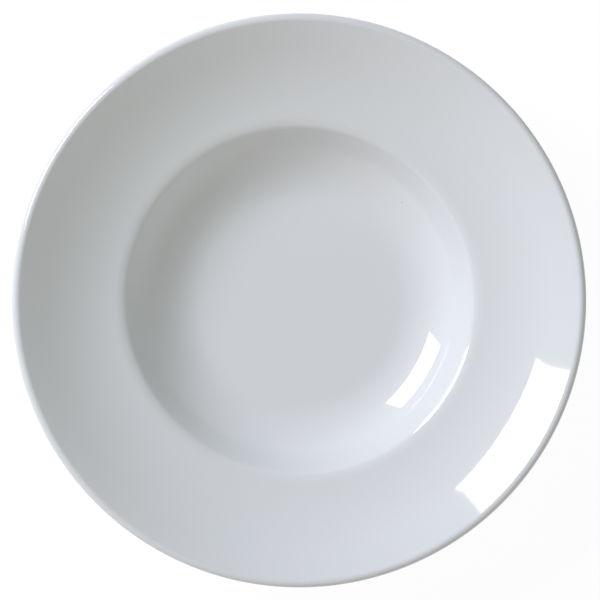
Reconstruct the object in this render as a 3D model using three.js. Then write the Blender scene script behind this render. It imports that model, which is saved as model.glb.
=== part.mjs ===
// A deep bowl in glazed white porcelain: a round well inside a wide rising rim, on a foot ring.
//
// The fired body is one piece of clay, so its well, rim, lip and foot ring are a single solid.
// The glaze is glass melted onto that body in two separate skins. One coats the face, the lip and
// the back down to the foot ring, and the other lines the recess inside the foot ring. Between the
// two, the foot ring's standing face is wiped clean before firing and stays bare.
//
// Millimetres and degrees, +Z up. The origin is on the axis, in the plane the foot ring stands on.

import * as THREE from "three";

// Across the bowl
const OVERALL_DIAMETER = 270; // over the glazed lip
const RIM_WIDTH = 47; // from the lip's edge in to where the rim meets the shoulder
const RIM_BAND_WIDTH = 15; // the straight outer band of the rim, from the lip's edge in
const FLOOR_DIAMETER = 98; // the level floor of the well

// How steeply the face rises
const WALL_SLOPE = 47.5; // along the straight part of the well's wall
const SHOULDER_RUNOUT_SLOPE = 22; // where the shoulder's tight bend hands over to its softer one
const RIM_INNER_SLOPE = 11; // where the rim leaves the shoulder
const RIM_OUTER_SLOPE = 29.5; // along the outer band

// Wall of the well
const WALL_STRAIGHT = 8.5; // the part of the wall that runs straight, above the heel's sweep
const SHOULDER_RADIUS = 6; // the rounded edge at the top of the wall
const SHOULDER_RUNOUT_RADIUS = 20; // the softer bend by which that edge runs out onto the rim

// Thickness
const BODY_THICKNESS = 4.5; // one even wall of clay, from the floor to the lip
const GLAZE_THICKNESS = 0.25; // from the clay to the finished surface
const GLAZE_SEAT = 0.01; // hairline kept between the clay and the glaze that is melted onto it

// Foot ring
const FOOT_DIAMETER = 104; // over the outer side
const FOOT_WIDTH = 5.5;
const FOOT_HEIGHT = 4; // from the standing face up to the clay under the floor
const FOOT_EDGE_RADIUS = 1; // on both edges of the standing face
const FOOT_ROOT_RADIUS = 1.6; // where the ring grows out of the back
const BARE_BAND = 0.5; // clay left bare on each side of the ring, above the edge's round

// Fineness of the facets
const ROUND_FACETS = 48; // around the axis
const FACET_SAG = 0.15; // how far a facet may lie from the curve that it stands for

const UP = 0;
const OUTWARDS = Math.PI / 2;
const DOWN = Math.PI;
const INWARDS = 1.5 * Math.PI;
const wallSlope = THREE.MathUtils.degToRad(WALL_SLOPE);
const runoutSlope = THREE.MathUtils.degToRad(SHOULDER_RUNOUT_SLOPE);
const rimInnerSlope = THREE.MathUtils.degToRad(RIM_INNER_SLOPE);
const rimOuterSlope = THREE.MathUtils.degToRad(RIM_OUTER_SLOPE);

// The outline is drawn in the half plane beside the axis: x is the radius and y is the height.
// A surface's facing is the angle it looks along: 0 is up, a quarter turn is away from the axis.
const toward = (facing) => new THREE.Vector2(Math.sin(facing), Math.cos(facing));
const along = (start, facing, distance) => toward(facing).multiplyScalar(distance).add(start);
const spot = (radius, height, facing) => ({
  point: new THREE.Vector2(radius, height),
  normal: toward(facing),
});

// A rounded stretch of outline that bulges from its centre, between two facings.
function bulge(centre, radius, from, to) {
  const facet = 2 * Math.acos(1 - FACET_SAG / Math.max(Math.abs(radius), FACET_SAG));
  const steps = Math.max(1, Math.ceil(Math.abs(to - from) / facet));
  return Array.from({ length: steps + 1 }, (_, i) => {
    const facing = from + ((to - from) * i) / steps;
    return { point: along(centre, facing, radius), normal: toward(facing) };
  });
}

// A rounded stretch that is scooped out around its centre.
const hollow = (centre, radius, from, to) => bulge(centre, -radius, from, to);

// Stretches end to end, with each point that two stretches share kept once.
function joined(...stretches) {
  const touching = 1e-6;
  return stretches.flat().filter((spot, i, all) => {
    return i === 0 || spot.point.distanceTo(all[i - 1].point) > touching;
  });
}

// Radii of the face, on the clay, from the lip in to the floor. Every bend is tangent to the next.
const bodyRadius = OVERALL_DIAMETER / 2 - GLAZE_THICKNESS;
const bandRadius = OVERALL_DIAMETER / 2 - RIM_BAND_WIDTH;
const wellRadius = OVERALL_DIAMETER / 2 - RIM_WIDTH;
const runoutStart = wellRadius - SHOULDER_RUNOUT_RADIUS * (Math.sin(runoutSlope) - Math.sin(rimInnerSlope));
const wallTopRadius = runoutStart - SHOULDER_RADIUS * (Math.sin(wallSlope) - Math.sin(runoutSlope));
const wallFootRadius = wallTopRadius - WALL_STRAIGHT * Math.cos(wallSlope);
const floorRadius = FLOOR_DIAMETER / 2;
const heelRadius = (wallFootRadius - floorRadius) / Math.sin(wallSlope);
const rimRadius = (bandRadius - wellRadius) / (Math.sin(rimOuterSlope) - Math.sin(rimInnerSlope));
const lipRadius = BODY_THICKNESS / 2;

// Centres of those bends. The back shares them, because it runs parallel to the face.
const floorHeight = FOOT_HEIGHT + BODY_THICKNESS;
const heelCentre = new THREE.Vector2(floorRadius, floorHeight + heelRadius);
const wallTop = along(along(heelCentre, -wallSlope, -heelRadius), OUTWARDS - wallSlope, WALL_STRAIGHT);
const shoulderCentre = along(wallTop, -wallSlope, -SHOULDER_RADIUS);
const runoutCentre = along(shoulderCentre, -runoutSlope, SHOULDER_RADIUS - SHOULDER_RUNOUT_RADIUS);
const rimCentre = along(runoutCentre, -rimInnerSlope, SHOULDER_RUNOUT_RADIUS + rimRadius);
const bandStart = along(rimCentre, -rimOuterSlope, -rimRadius);
const lipStart = bodyRadius - lipRadius * (1 + Math.sin(rimOuterSlope));
const lipStartHeight = bandStart.y + (lipStart - bandStart.x) * Math.tan(rimOuterSlope);
const lipCentre = along(new THREE.Vector2(lipStart, lipStartHeight), -rimOuterSlope, -lipRadius);

// The slope of the back, and the height of a ball's centre, where the ball rolls along under the floor
// and then the heel.
function ballUnderBack(radius, ball) {
  const reach = heelRadius + BODY_THICKNESS + ball;
  const slope = Math.asin(THREE.MathUtils.clamp((radius - floorRadius) / reach, 0, Math.sin(wallSlope)));
  return { slope, height: heelCentre.y - reach * Math.cos(slope) };
}

// Foot ring: the two root fillets against the back, and where the glaze stops on each side.
const footOuterRadius = FOOT_DIAMETER / 2;
const footInnerRadius = footOuterRadius - FOOT_WIDTH;
const outerRoot = ballUnderBack(footOuterRadius + FOOT_ROOT_RADIUS, FOOT_ROOT_RADIUS);
const innerRoot = ballUnderBack(footInnerRadius - FOOT_ROOT_RADIUS, FOOT_ROOT_RADIUS);
const outerRootCentre = new THREE.Vector2(footOuterRadius + FOOT_ROOT_RADIUS, outerRoot.height);
const innerRootCentre = new THREE.Vector2(footInnerRadius - FOOT_ROOT_RADIUS, innerRoot.height);
const outerEdgeCentre = new THREE.Vector2(footOuterRadius - FOOT_EDGE_RADIUS, FOOT_EDGE_RADIUS);
const innerEdgeCentre = new THREE.Vector2(footInnerRadius + FOOT_EDGE_RADIUS, FOOT_EDGE_RADIUS);
const glazeLine = FOOT_EDGE_RADIUS + BARE_BAND;

// The face of the clay, from the axis out to the lip.
const face = joined(
  [spot(0, floorHeight, UP)],
  hollow(heelCentre, heelRadius, UP, -wallSlope),
  bulge(shoulderCentre, SHOULDER_RADIUS, -wallSlope, -runoutSlope),
  bulge(runoutCentre, SHOULDER_RUNOUT_RADIUS, -runoutSlope, -rimInnerSlope),
  hollow(rimCentre, rimRadius, -rimInnerSlope, -rimOuterSlope),
);

// The lip, a full round that turns the face into the back.
const lip = bulge(lipCentre, lipRadius, -rimOuterSlope, DOWN - rimOuterSlope);

// The back, parallel to the face, in from the lip and down to the foot ring's glaze line.
const back = joined(
  bulge(rimCentre, rimRadius + BODY_THICKNESS, DOWN - rimOuterSlope, DOWN - rimInnerSlope),
  hollow(runoutCentre, SHOULDER_RUNOUT_RADIUS - BODY_THICKNESS, DOWN - rimInnerSlope, DOWN - runoutSlope),
  hollow(shoulderCentre, SHOULDER_RADIUS - BODY_THICKNESS, DOWN - runoutSlope, DOWN - wallSlope),
  bulge(heelCentre, heelRadius + BODY_THICKNESS, DOWN - wallSlope, DOWN - outerRoot.slope),
  hollow(outerRootCentre, FOOT_ROOT_RADIUS, DOWN - outerRoot.slope, OUTWARDS),
  [spot(footOuterRadius, glazeLine, OUTWARDS)],
);

// The clay left bare: the foot ring's standing face and its two rounded edges.
const bareFoot = joined(
  bulge(outerEdgeCentre, FOOT_EDGE_RADIUS, OUTWARDS, DOWN),
  bulge(innerEdgeCentre, FOOT_EDGE_RADIUS, DOWN, INWARDS),
);

// The recess inside the foot ring, in to the axis. A ring that is wider than the level floor takes in
// some of the heel's sweep.
const heelInRecess = innerRoot.slope > 0;
const recess = joined(
  [spot(footInnerRadius, glazeLine, INWARDS)],
  hollow(innerRootCentre, FOOT_ROOT_RADIUS, INWARDS, DOWN - innerRoot.slope),
  heelInRecess ? bulge(heelCentre, heelRadius + BODY_THICKNESS, DOWN - innerRoot.slope, DOWN) : [],
  [spot(0, floorHeight - BODY_THICKNESS, DOWN)],
);

// The outline lifted off the clay, square to it.
function lifted(outline, distance) {
  return outline.map(({ point, normal }) => normal.clone().multiplyScalar(distance).add(point));
}

// A skin of glaze over a stretch of the clay's outline, one end of which is on the axis: along its
// finished side and back along its seat, starting and ending on the axis.
function skin(outline) {
  const finished = lifted(outline, GLAZE_THICKNESS);
  const seat = lifted(outline, GLAZE_SEAT).reverse();
  return outline[0].point.x === 0 ? [...finished, ...seat] : [...seat, ...finished];
}

// A closed outline turned about the axis, which three.js draws upright along Y.
function turned(outline) {
  const solid = new THREE.LatheGeometry([...outline].reverse(), ROUND_FACETS);
  return solid.rotateX(Math.PI / 2);
}

function piece(name, outline, material) {
  const mesh = new THREE.Mesh(turned(outline), material);
  mesh.name = name;
  return mesh;
}

const clay = new THREE.MeshStandardMaterial({ color: 0xe4e1da, roughness: 0.75, metalness: 0 });
const glaze = new THREE.MeshStandardMaterial({ color: 0xe9ecef, roughness: 0.06, metalness: 0 });

const coated = joined(face, lip, back);
const bowl = new THREE.Group();
bowl.add(
  piece("porcelain_body", lifted(joined(coated, bareFoot, recess), 0), clay),
  piece("glaze_coat", skin(coated), glaze),
  piece("base_glaze", skin(recess), glaze),
);

export default bowl;
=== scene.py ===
# A wide-rimmed deep bowl in glazed white porcelain, seen from straight above under one soft lamp.

import math
from typing import NamedTuple

import bpy
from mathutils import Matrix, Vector


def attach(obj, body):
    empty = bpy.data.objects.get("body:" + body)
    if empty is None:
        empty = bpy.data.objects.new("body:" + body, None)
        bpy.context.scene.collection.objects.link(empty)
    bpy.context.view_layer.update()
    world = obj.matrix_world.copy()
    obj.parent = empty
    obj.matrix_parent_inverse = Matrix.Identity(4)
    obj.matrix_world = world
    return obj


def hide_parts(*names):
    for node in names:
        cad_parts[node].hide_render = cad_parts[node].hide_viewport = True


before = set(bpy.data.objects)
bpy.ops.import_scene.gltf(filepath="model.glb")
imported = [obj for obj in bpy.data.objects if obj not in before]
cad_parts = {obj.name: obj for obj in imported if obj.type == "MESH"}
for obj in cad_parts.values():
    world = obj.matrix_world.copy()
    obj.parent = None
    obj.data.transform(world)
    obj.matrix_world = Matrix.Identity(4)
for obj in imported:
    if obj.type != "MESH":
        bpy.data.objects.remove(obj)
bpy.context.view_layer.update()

BODY = "root"
MM = 0.001

# Sizes across the bowl
OVERALL_DIAMETER = 270 * MM
RIM_WIDTH = 47 * MM
RIM_BAND_WIDTH = 15 * MM
FLOOR_DIAMETER = 98 * MM

# How steeply the face rises
WALL_SLOPE = math.radians(47.5)
RUNOUT_SLOPE = math.radians(22)
RIM_INNER_SLOPE = math.radians(11)
RIM_OUTER_SLOPE = math.radians(29.5)

# Wall of the well, and the two bends of the shoulder above it
WALL_STRAIGHT = 8.5 * MM
SHOULDER_RADIUS = 6 * MM
RUNOUT_RADIUS = 20 * MM

# Thickness of the clay, of the glaze, and of the hairline between them
BODY_THICKNESS = 4.5 * MM
GLAZE_THICKNESS = 0.25 * MM
GLAZE_SEAT = 0.01 * MM

# Foot ring
FOOT_DIAMETER = 104 * MM
FOOT_WIDTH = 5.5 * MM
FOOT_HEIGHT = 4 * MM
FOOT_EDGE_RADIUS = 1 * MM
FOOT_ROOT_RADIUS = 1.6 * MM
BARE_BAND = 0.5 * MM

# Fineness of the surfaces
ROUND_STEPS = 240
CURVE_SAG = 0.005 * MM
STRAIGHT_HOLD = 0.2 * MM
MERGE_DISTANCE = 0.002 * MM
SAME_FACING = 0.0001
CREASE = math.radians(35)

# The photograph's frame, in its pixels, and where the bowl stands in it
PHOTO_WIDTH = 600
BOWL_WIDTH_IN_PHOTO = 574.1
BOWL_AXIS_IN_PHOTO = Vector((299.2, 300.4))

# The camera: how far it hangs above the middle of the lip, and its sensor's width in millimetres
CAMERA_DISTANCE = 1.2
SENSOR_WIDTH = 36

# The soft lamp at the upper left
LAMP_WIDTH = 2.9
LAMP_HEIGHT = 2.57
LAMP_DISTANCE = 6.0
LAMP_ZENITH = math.radians(57.8)
LAMP_TURN = math.radians(148)
LAMP_POWER = 356
LAMP_COLOUR = (0.878, 0.912, 1.0)

# The two pale sides of the room that face the lamp, which give its fill light
RIGHT_SIDE = (1, 0, 0)
RIGHT_COLOUR = (0.425, 0.472, 0.437, 1)
FRONT_SIDE = (0, -1, 0)
FRONT_COLOUR = (0.660, 0.634, 0.591, 1)

# The floor: how bright it looks, how much of a shadow it shows, and the grey by which it lights the bowl
FLOOR_WIDTH = 6.0
FLOOR_GLOW = 0.95
FLOOR_SHADE = 0.08
FLOOR_GREY = 0.8
WHITE = (1, 1, 1, 1)

# Which way a surface looks, as an angle from straight up that grows away from the axis
UP = 0.0
OUTWARDS = math.pi / 2
DOWN = math.pi
INWARDS = 1.5 * math.pi


class Spot(NamedTuple):
    """A point of the outline, as radius and height, and the way that its surface looks."""

    point: Vector
    normal: Vector


def toward(facing):
    return Vector((math.sin(facing), math.cos(facing)))


def along(start, facing, distance):
    return start + toward(facing) * distance


def spot(radius, height, facing):
    return Spot(Vector((radius, height)), toward(facing))


def bulge(centre, radius, start, end):
    """A rounded stretch of outline that bulges from its centre, between two facings."""
    step = 2 * math.acos(1 - CURVE_SAG / max(abs(radius), CURVE_SAG))
    count = max(1, math.ceil(abs(end - start) / step))
    facings = [start + (end - start) * i / count for i in range(count + 1)]
    return [Spot(along(centre, facing, radius), toward(facing)) for facing in facings]


def hollow(centre, radius, start, end):
    """A rounded stretch that is scooped out around its centre."""
    return bulge(centre, -radius, start, end)


def joined(*stretches):
    """Stretches end to end, with each point that two of them share kept once."""
    outline = []
    for here in (each for stretch in stretches for each in stretch):
        if not outline or (here.point - outline[-1].point).length > MERGE_DISTANCE:
            outline.append(here)
    return outline


def held(outline):
    """The outline with a point near each end of its straight stretches.

    These points keep the smooth shading of the bends out of the straight stretches.
    """
    result = outline[:1]
    for before, here in zip(outline, outline[1:]):
        way = here.point - before.point
        straight = (here.normal - before.normal).length < SAME_FACING
        if straight and way.length > 2 * STRAIGHT_HOLD:
            step = way.normalized() * STRAIGHT_HOLD
            result.append(Spot(before.point + step, here.normal))
            result.append(Spot(here.point - step, here.normal))
        result.append(here)
    return result


def lifted(outline, distance):
    """The outline's points, moved off the clay and square to it."""
    return [here.point + here.normal * distance for here in outline]


# Radii of the face, on the clay, from the lip in to the floor
body_radius = OVERALL_DIAMETER / 2 - GLAZE_THICKNESS
band_radius = OVERALL_DIAMETER / 2 - RIM_BAND_WIDTH
well_radius = OVERALL_DIAMETER / 2 - RIM_WIDTH
runout_start = well_radius - RUNOUT_RADIUS * (math.sin(RUNOUT_SLOPE) - math.sin(RIM_INNER_SLOPE))
wall_top = runout_start - SHOULDER_RADIUS * (math.sin(WALL_SLOPE) - math.sin(RUNOUT_SLOPE))
wall_foot = wall_top - WALL_STRAIGHT * math.cos(WALL_SLOPE)
floor_radius = FLOOR_DIAMETER / 2
heel_radius = (wall_foot - floor_radius) / math.sin(WALL_SLOPE)
rim_radius = (band_radius - well_radius) / (math.sin(RIM_OUTER_SLOPE) - math.sin(RIM_INNER_SLOPE))
lip_radius = BODY_THICKNESS / 2

# Centres of its bends, which the back shares because it runs parallel to the face
floor_height = FOOT_HEIGHT + BODY_THICKNESS
heel_centre = Vector((floor_radius, floor_height + heel_radius))
wall_start = along(heel_centre, -WALL_SLOPE, -heel_radius)
wall_end = along(wall_start, OUTWARDS - WALL_SLOPE, WALL_STRAIGHT)
shoulder_centre = along(wall_end, -WALL_SLOPE, -SHOULDER_RADIUS)
runout_centre = along(shoulder_centre, -RUNOUT_SLOPE, SHOULDER_RADIUS - RUNOUT_RADIUS)
rim_centre = along(runout_centre, -RIM_INNER_SLOPE, RUNOUT_RADIUS + rim_radius)
band_start = along(rim_centre, -RIM_OUTER_SLOPE, -rim_radius)
lip_start = body_radius - lip_radius * (1 + math.sin(RIM_OUTER_SLOPE))
lip_start_height = band_start.y + (lip_start - band_start.x) * math.tan(RIM_OUTER_SLOPE)
lip_centre = along(Vector((lip_start, lip_start_height)), -RIM_OUTER_SLOPE, -lip_radius)


def root_fillet(radius):
    """The slope of the back, and the fillet's centre, where a fillet at that radius touches the back."""
    reach = heel_radius + BODY_THICKNESS + FOOT_ROOT_RADIUS
    slope = math.asin(max(0, radius - floor_radius) / reach)
    return slope, Vector((radius, heel_centre.y - reach * math.cos(slope)))


foot_outer = FOOT_DIAMETER / 2
foot_inner = foot_outer - FOOT_WIDTH
glaze_line = FOOT_EDGE_RADIUS + BARE_BAND
outer_root_slope, outer_root = root_fillet(foot_outer + FOOT_ROOT_RADIUS)
inner_root_slope, inner_root = root_fillet(foot_inner - FOOT_ROOT_RADIUS)
outer_edge = Vector((foot_outer - FOOT_EDGE_RADIUS, FOOT_EDGE_RADIUS))
inner_edge = Vector((foot_inner + FOOT_EDGE_RADIUS, FOOT_EDGE_RADIUS))

# The clay under the coat of glaze: the face from the axis out, the lip, and the back in to the foot ring
coated = held(joined(
    [spot(0, floor_height, UP)],
    hollow(heel_centre, heel_radius, UP, -WALL_SLOPE),
    bulge(shoulder_centre, SHOULDER_RADIUS, -WALL_SLOPE, -RUNOUT_SLOPE),
    bulge(runout_centre, RUNOUT_RADIUS, -RUNOUT_SLOPE, -RIM_INNER_SLOPE),
    hollow(rim_centre, rim_radius, -RIM_INNER_SLOPE, -RIM_OUTER_SLOPE),
    bulge(lip_centre, lip_radius, -RIM_OUTER_SLOPE, DOWN - RIM_OUTER_SLOPE),
    bulge(rim_centre, rim_radius + BODY_THICKNESS, DOWN - RIM_OUTER_SLOPE, DOWN - RIM_INNER_SLOPE),
    hollow(runout_centre, RUNOUT_RADIUS - BODY_THICKNESS, DOWN - RIM_INNER_SLOPE, DOWN - RUNOUT_SLOPE),
    hollow(shoulder_centre, SHOULDER_RADIUS - BODY_THICKNESS, DOWN - RUNOUT_SLOPE, DOWN - WALL_SLOPE),
    bulge(heel_centre, heel_radius + BODY_THICKNESS, DOWN - WALL_SLOPE, DOWN - outer_root_slope),
    hollow(outer_root, FOOT_ROOT_RADIUS, DOWN - outer_root_slope, OUTWARDS),
))

# The bare clay of the foot ring, from one glaze line round its standing face to the other
bare_foot = joined(
    [spot(foot_outer, glaze_line, OUTWARDS)],
    bulge(outer_edge, FOOT_EDGE_RADIUS, OUTWARDS, DOWN),
    bulge(inner_edge, FOOT_EDGE_RADIUS, DOWN, INWARDS),
    [spot(foot_inner, glaze_line, INWARDS)],
)

# The clay of the recess inside the foot ring, in to the axis, under the level floor
recess = held(joined(
    hollow(inner_root, FOOT_ROOT_RADIUS, INWARDS, DOWN - inner_root_slope),
    [spot(0, FOOT_HEIGHT, DOWN)],
))

# The glaze's two edges, where it thins away on each side of the foot ring in a quarter round
edge_height = glaze_line + GLAZE_THICKNESS
outer_glaze_edge = bulge(Vector((foot_outer, edge_height)), GLAZE_THICKNESS, OUTWARDS, DOWN)
inner_glaze_edge = bulge(Vector((foot_inner, edge_height)), GLAZE_THICKNESS, DOWN, INWARDS)


def turned(name, outline):
    """A closed piece: one corner is extruded along the outline, which is then spun round the axis."""
    corners = [Vector((corner.x, 0, corner.y)) for corner in outline]
    bpy.ops.object.select_all(action="DESELECT")
    bpy.ops.mesh.primitive_plane_add(size=MM)
    piece = bpy.context.object
    piece.name = name
    bpy.ops.object.mode_set(mode="EDIT")
    bpy.ops.mesh.merge(type="CENTER")
    bpy.ops.transform.translate(value=corners[0])
    for here, there in zip(corners, corners[1:]):
        bpy.ops.mesh.extrude_region_move(TRANSFORM_OT_translate={"value": there - here})
    bpy.ops.mesh.select_all(action="SELECT")
    bpy.ops.mesh.spin(steps=ROUND_STEPS, angle=math.tau, center=(0, 0, 0), axis=(0, 0, 1))
    bpy.ops.mesh.select_all(action="SELECT")
    bpy.ops.mesh.remove_doubles(threshold=MERGE_DISTANCE)
    bpy.ops.mesh.normals_make_consistent(inside=False)
    bpy.ops.object.mode_set(mode="OBJECT")
    bpy.ops.object.shade_smooth_by_angle(angle=CREASE)
    return piece


class Number:
    """A value that a shader works out. Python's operators on it add the Math nodes."""

    def __init__(self, nodes, socket):
        self.nodes = nodes
        self.socket = socket

    def combined(self, operation, first, second):
        return self.nodes.add("ShaderNodeMath", {"operation": operation}, {0: first, 1: second})

    def __add__(self, other):
        return self.combined("ADD", self, other)

    def __sub__(self, other):
        return self.combined("SUBTRACT", self, other)

    def __rsub__(self, other):
        return self.combined("SUBTRACT", other, self)

    def __mul__(self, other):
        return self.combined("MULTIPLY", self, other)

    __radd__ = __add__
    __rmul__ = __mul__


class Nodes:
    """The nodes of a material or of the world."""

    def __init__(self, owner):
        owner.use_nodes = True
        self.tree = owner.node_tree
        self.tree.nodes.clear()

    def add(self, kind, settings=None, inputs=None, output=None):
        """A node of a kind with its settings made and its sockets fed; gives back one of its outputs."""
        node = self.tree.nodes.new(kind)
        for name, value in (settings or {}).items():
            setattr(node, name, value)
        for name, value in (inputs or {}).items():
            socket = node.inputs[name] if isinstance(name, int) else self.named(node.inputs, name)
            if isinstance(value, Number):
                self.tree.links.new(value.socket, socket)
            else:
                socket.default_value = value
        if not node.outputs:
            return None
        first = next(socket for socket in node.outputs if socket.enabled)
        return Number(self, self.named(node.outputs, output) if output else first)

    @staticmethod
    def named(sockets, name):
        return next(socket for socket in sockets if socket.enabled and socket.name == name)

    def noise(self, place, length, detail=2.0):
        """Soft noise from 0 to 1 whose lumps are about one length across."""
        inputs = {"Vector": place, "Scale": 1 / length, "Detail": detail}
        return self.add("ShaderNodeTexNoise", None, inputs, output="Fac")

    def fade(self, value, low, high, start=0.0, end=1.0):
        """A smooth step from start to end as the value goes from low to high."""
        inputs = {"Value": value, "From Min": low, "From Max": high, "To Min": start, "To Max": end}
        return self.add("ShaderNodeMapRange", {"interpolation_type": "SMOOTHSTEP"}, inputs)

    def bump(self, height):
        """The way the surface looks when a relief, with its height in metres, tilts it."""
        return self.add("ShaderNodeBump", None, {"Height": height, "Distance": 1.0})

    def blend(self, share, first, second):
        """One colour turning into another."""
        inputs = {"Factor": share, "A": first, "B": second}
        return self.add("ShaderNodeMix", {"data_type": "RGBA"}, inputs)


def glossy_glaze():
    """White glaze: a faint drift of tone and gloss, slow waves, fine orange peel and one iron speck."""
    cool_white = (0.830, 0.840, 0.852, 1)
    warm_white = (0.840, 0.840, 0.838, 1)
    iron = (0.16, 0.13, 0.10, 1)
    drift_length = 60 * MM
    wave_length = 24 * MM
    wave_height = 0.012 * MM
    peel_length = 3 * MM
    peel_height = 0.0008 * MM
    speck_place = (49.6 * MM, 47.4 * MM, 14.45 * MM)
    speck_radius = 0.45 * MM
    speck_core = 0.3 * speck_radius
    speck_strength = 0.48
    least_roughness = 0.04
    roughness_drift = 0.03
    glass_index = 1.52

    material = bpy.data.materials.new("white_glaze")
    nodes = Nodes(material)
    place = nodes.add("ShaderNodeTexCoord", output="Object")
    drift = nodes.noise(place, drift_length)
    apart = {0: place, 1: speck_place}
    from_speck = nodes.add("ShaderNodeVectorMath", {"operation": "DISTANCE"}, apart, output="Value")
    speck = nodes.fade(from_speck, speck_core, speck_radius, speck_strength, 0)
    white = nodes.blend(drift, cool_white, warm_white)
    waves = nodes.noise(place, wave_length, detail=0) * wave_height
    peel = nodes.noise(place, peel_length, detail=0) * peel_height
    shader = nodes.add(
        "ShaderNodeBsdfPrincipled",
        None,
        {
            "Base Color": nodes.blend(speck, white, iron),
            "Roughness": least_roughness + roughness_drift * drift,
            "IOR": glass_index,
            "Normal": nodes.bump(waves + peel),
        },
    )
    nodes.add("ShaderNodeOutputMaterial", None, {"Surface": shader})
    return material


def bare_clay():
    """Fired clay with no glaze: dry, finely sandy, and rubbed a little grey where the bowl stands."""
    pale_clay = (0.74, 0.72, 0.67, 1)
    warm_clay = (0.66, 0.62, 0.55, 1)
    rubbed_clay = (0.52, 0.50, 0.47, 1)
    blotch_length = 9 * MM
    rub_length = 4 * MM
    rub_height = 0.25 * MM
    rub_start = 0.45
    rub_full = 0.75
    grain_length = 0.35 * MM
    grain_height = 0.012 * MM
    dry_roughness = 0.78
    rub_polish = 0.22
    grain_roughness = 0.1

    material = bpy.data.materials.new("bare_clay")
    nodes = Nodes(material)
    place = nodes.add("ShaderNodeTexCoord", output="Object")
    height = nodes.add("ShaderNodeSeparateXYZ", None, {"Vector": place}, output="Z")
    standing = nodes.fade(height, 0, rub_height, 1, 0)
    rubbed = standing * nodes.fade(nodes.noise(place, rub_length, detail=4), rub_start, rub_full)
    grain = nodes.noise(place, grain_length, detail=3)
    clay = nodes.blend(nodes.noise(place, blotch_length), pale_clay, warm_clay)
    shader = nodes.add(
        "ShaderNodeBsdfPrincipled",
        None,
        {
            "Base Color": nodes.blend(rubbed, clay, rubbed_clay),
            "Roughness": dry_roughness - rub_polish * rubbed + grain_roughness * grain,
            "Normal": nodes.bump(grain * grain_height),
        },
    )
    nodes.add("ShaderNodeOutputMaterial", None, {"Surface": shader})
    return material


def finish_piece(piece, material, node):
    """Gives a piece its material, hangs it on the body it rides on, and hides the imported part that it
    stands for.
    """
    piece.data.materials.clear()
    piece.data.materials.append(material)
    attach(piece, BODY)
    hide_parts(node)


glaze = glossy_glaze()
coat_seat = lifted(coated, GLAZE_SEAT)
coat_face = lifted(coated, GLAZE_THICKNESS)
coat = turned("bowl_glaze", coat_face + lifted(outer_glaze_edge, 0) + coat_seat[::-1])
finish_piece(coat, glaze, "glaze_coat")

recess_seat = lifted(recess, GLAZE_SEAT)
recess_face = lifted(recess, GLAZE_THICKNESS)
lining = turned("recess_glaze", recess_seat[::-1] + lifted(inner_glaze_edge, 0) + recess_face)
finish_piece(lining, glaze, "base_glaze")

clay = turned("bowl_clay", lifted(joined(coated, bare_foot, recess), 0))
finish_piece(clay, bare_clay(), "porcelain_body")


def hang_camera():
    """The camera, looking straight down from above the lip."""
    pixel = OVERALL_DIAMETER / BOWL_WIDTH_IN_PHOTO
    middle = Vector((PHOTO_WIDTH / 2, PHOTO_WIDTH / 2))
    off_axis = (middle - BOWL_AXIS_IN_PHOTO) * pixel
    lens = bpy.data.cameras.new("camera")
    lens.sensor_width = SENSOR_WIDTH
    lens.lens = SENSOR_WIDTH * CAMERA_DISTANCE / (PHOTO_WIDTH * pixel)
    camera = bpy.data.objects.new("camera", lens)
    camera.location = (off_axis.x, -off_axis.y, lip_centre.y + CAMERA_DISTANCE)
    bpy.context.collection.objects.link(camera)
    bpy.context.scene.camera = camera


def sky_direction(zenith, turn):
    """A direction by its angle from straight up and its turn from +X."""
    level = math.sin(zenith)
    return Vector((level * math.cos(turn), level * math.sin(turn), math.cos(zenith)))


def hang_lamp():
    """The lamp, facing the middle of the bowl's foot."""
    direction = sky_direction(LAMP_ZENITH, LAMP_TURN)
    light = bpy.data.lights.new("softbox", "AREA")
    light.shape = "RECTANGLE"
    light.size = LAMP_WIDTH
    light.size_y = LAMP_HEIGHT
    light.energy = LAMP_POWER
    light.color = LAMP_COLOUR
    lamp = bpy.data.objects.new("softbox", light)
    lamp.location = direction * LAMP_DISTANCE
    lamp.rotation_euler = (-direction).to_track_quat("-Z", "Y").to_euler()
    bpy.context.collection.objects.link(lamp)


def seen_directly(nodes):
    """1 where the camera, a reflection or a view through glass meets a surface, and 0 for its light."""
    rays = ("Is Camera Ray", "Is Glossy Ray", "Is Transmission Ray")
    camera, glossy, through = (nodes.add("ShaderNodeLightPath", output=ray) for ray in rays)
    return camera + glossy + through


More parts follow.
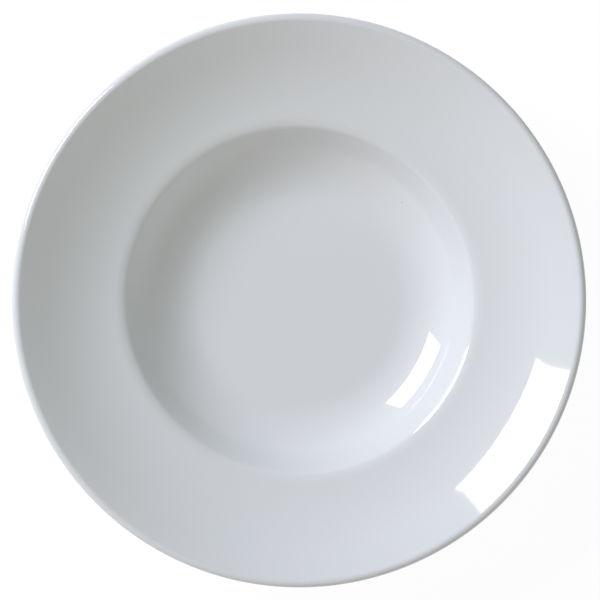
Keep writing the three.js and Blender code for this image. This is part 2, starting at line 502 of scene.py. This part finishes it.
def side_light(nodes, side, colour):
    """Light that swells towards one side of the room."""
    way = nodes.add("ShaderNodeTexCoord", output="Generated")
    inputs = {0: way, 1: side}
    towards = nodes.add("ShaderNodeVectorMath", {"operation": "DOT_PRODUCT"}, inputs, output="Value")
    swell = nodes.add("ShaderNodeMath", {"operation": "MAXIMUM"}, {0: towards, 1: 0.0})
    return nodes.add("ShaderNodeBackground", None, {"Color": colour, "Strength": swell})


def light_room():
    """A white room to look at, which itself gives only a dim light, from two sides."""
    world = bpy.data.worlds.new("room")
    bpy.context.scene.world = world
    nodes = Nodes(world)
    seen = nodes.add("ShaderNodeBackground", None, {"Color": WHITE, "Strength": 1.0})
    right = side_light(nodes, RIGHT_SIDE, RIGHT_COLOUR)
    front = side_light(nodes, FRONT_SIDE, FRONT_COLOUR)
    lit = nodes.add("ShaderNodeAddShader", None, {0: right, 1: front})
    room = nodes.add("ShaderNodeMixShader", None, {0: seen_directly(nodes), 1: lit, 2: seen})
    nodes.add("ShaderNodeOutputWorld", None, {"Surface": room})


def matt(nodes, grey):
    """A dull surface of one grey."""
    return nodes.add("ShaderNodeBsdfDiffuse", None, {"Color": (grey, grey, grey, 1)})


def lay_floor():
    """A white floor that still takes the bowl's soft shadow."""
    bpy.ops.object.select_all(action="DESELECT")
    bpy.ops.mesh.primitive_plane_add(size=FLOOR_WIDTH)
    floor = bpy.context.object
    floor.name = "floor"
    material = bpy.data.materials.new("white_floor")
    nodes = Nodes(material)
    glow = nodes.add("ShaderNodeEmission", None, {"Color": WHITE, "Strength": FLOOR_GLOW})
    seen = nodes.add("ShaderNodeAddShader", None, {0: glow, 1: matt(nodes, FLOOR_SHADE)})
    lit = matt(nodes, FLOOR_GREY)
    surface = nodes.add("ShaderNodeMixShader", None, {0: seen_directly(nodes), 1: lit, 2: seen})
    nodes.add("ShaderNodeOutputMaterial", None, {"Surface": surface})
    floor.data.materials.append(material)


hang_camera()
hang_lamp()
light_room()
lay_floor()
bpy.context.scene.view_settings.view_transform = "Standard"
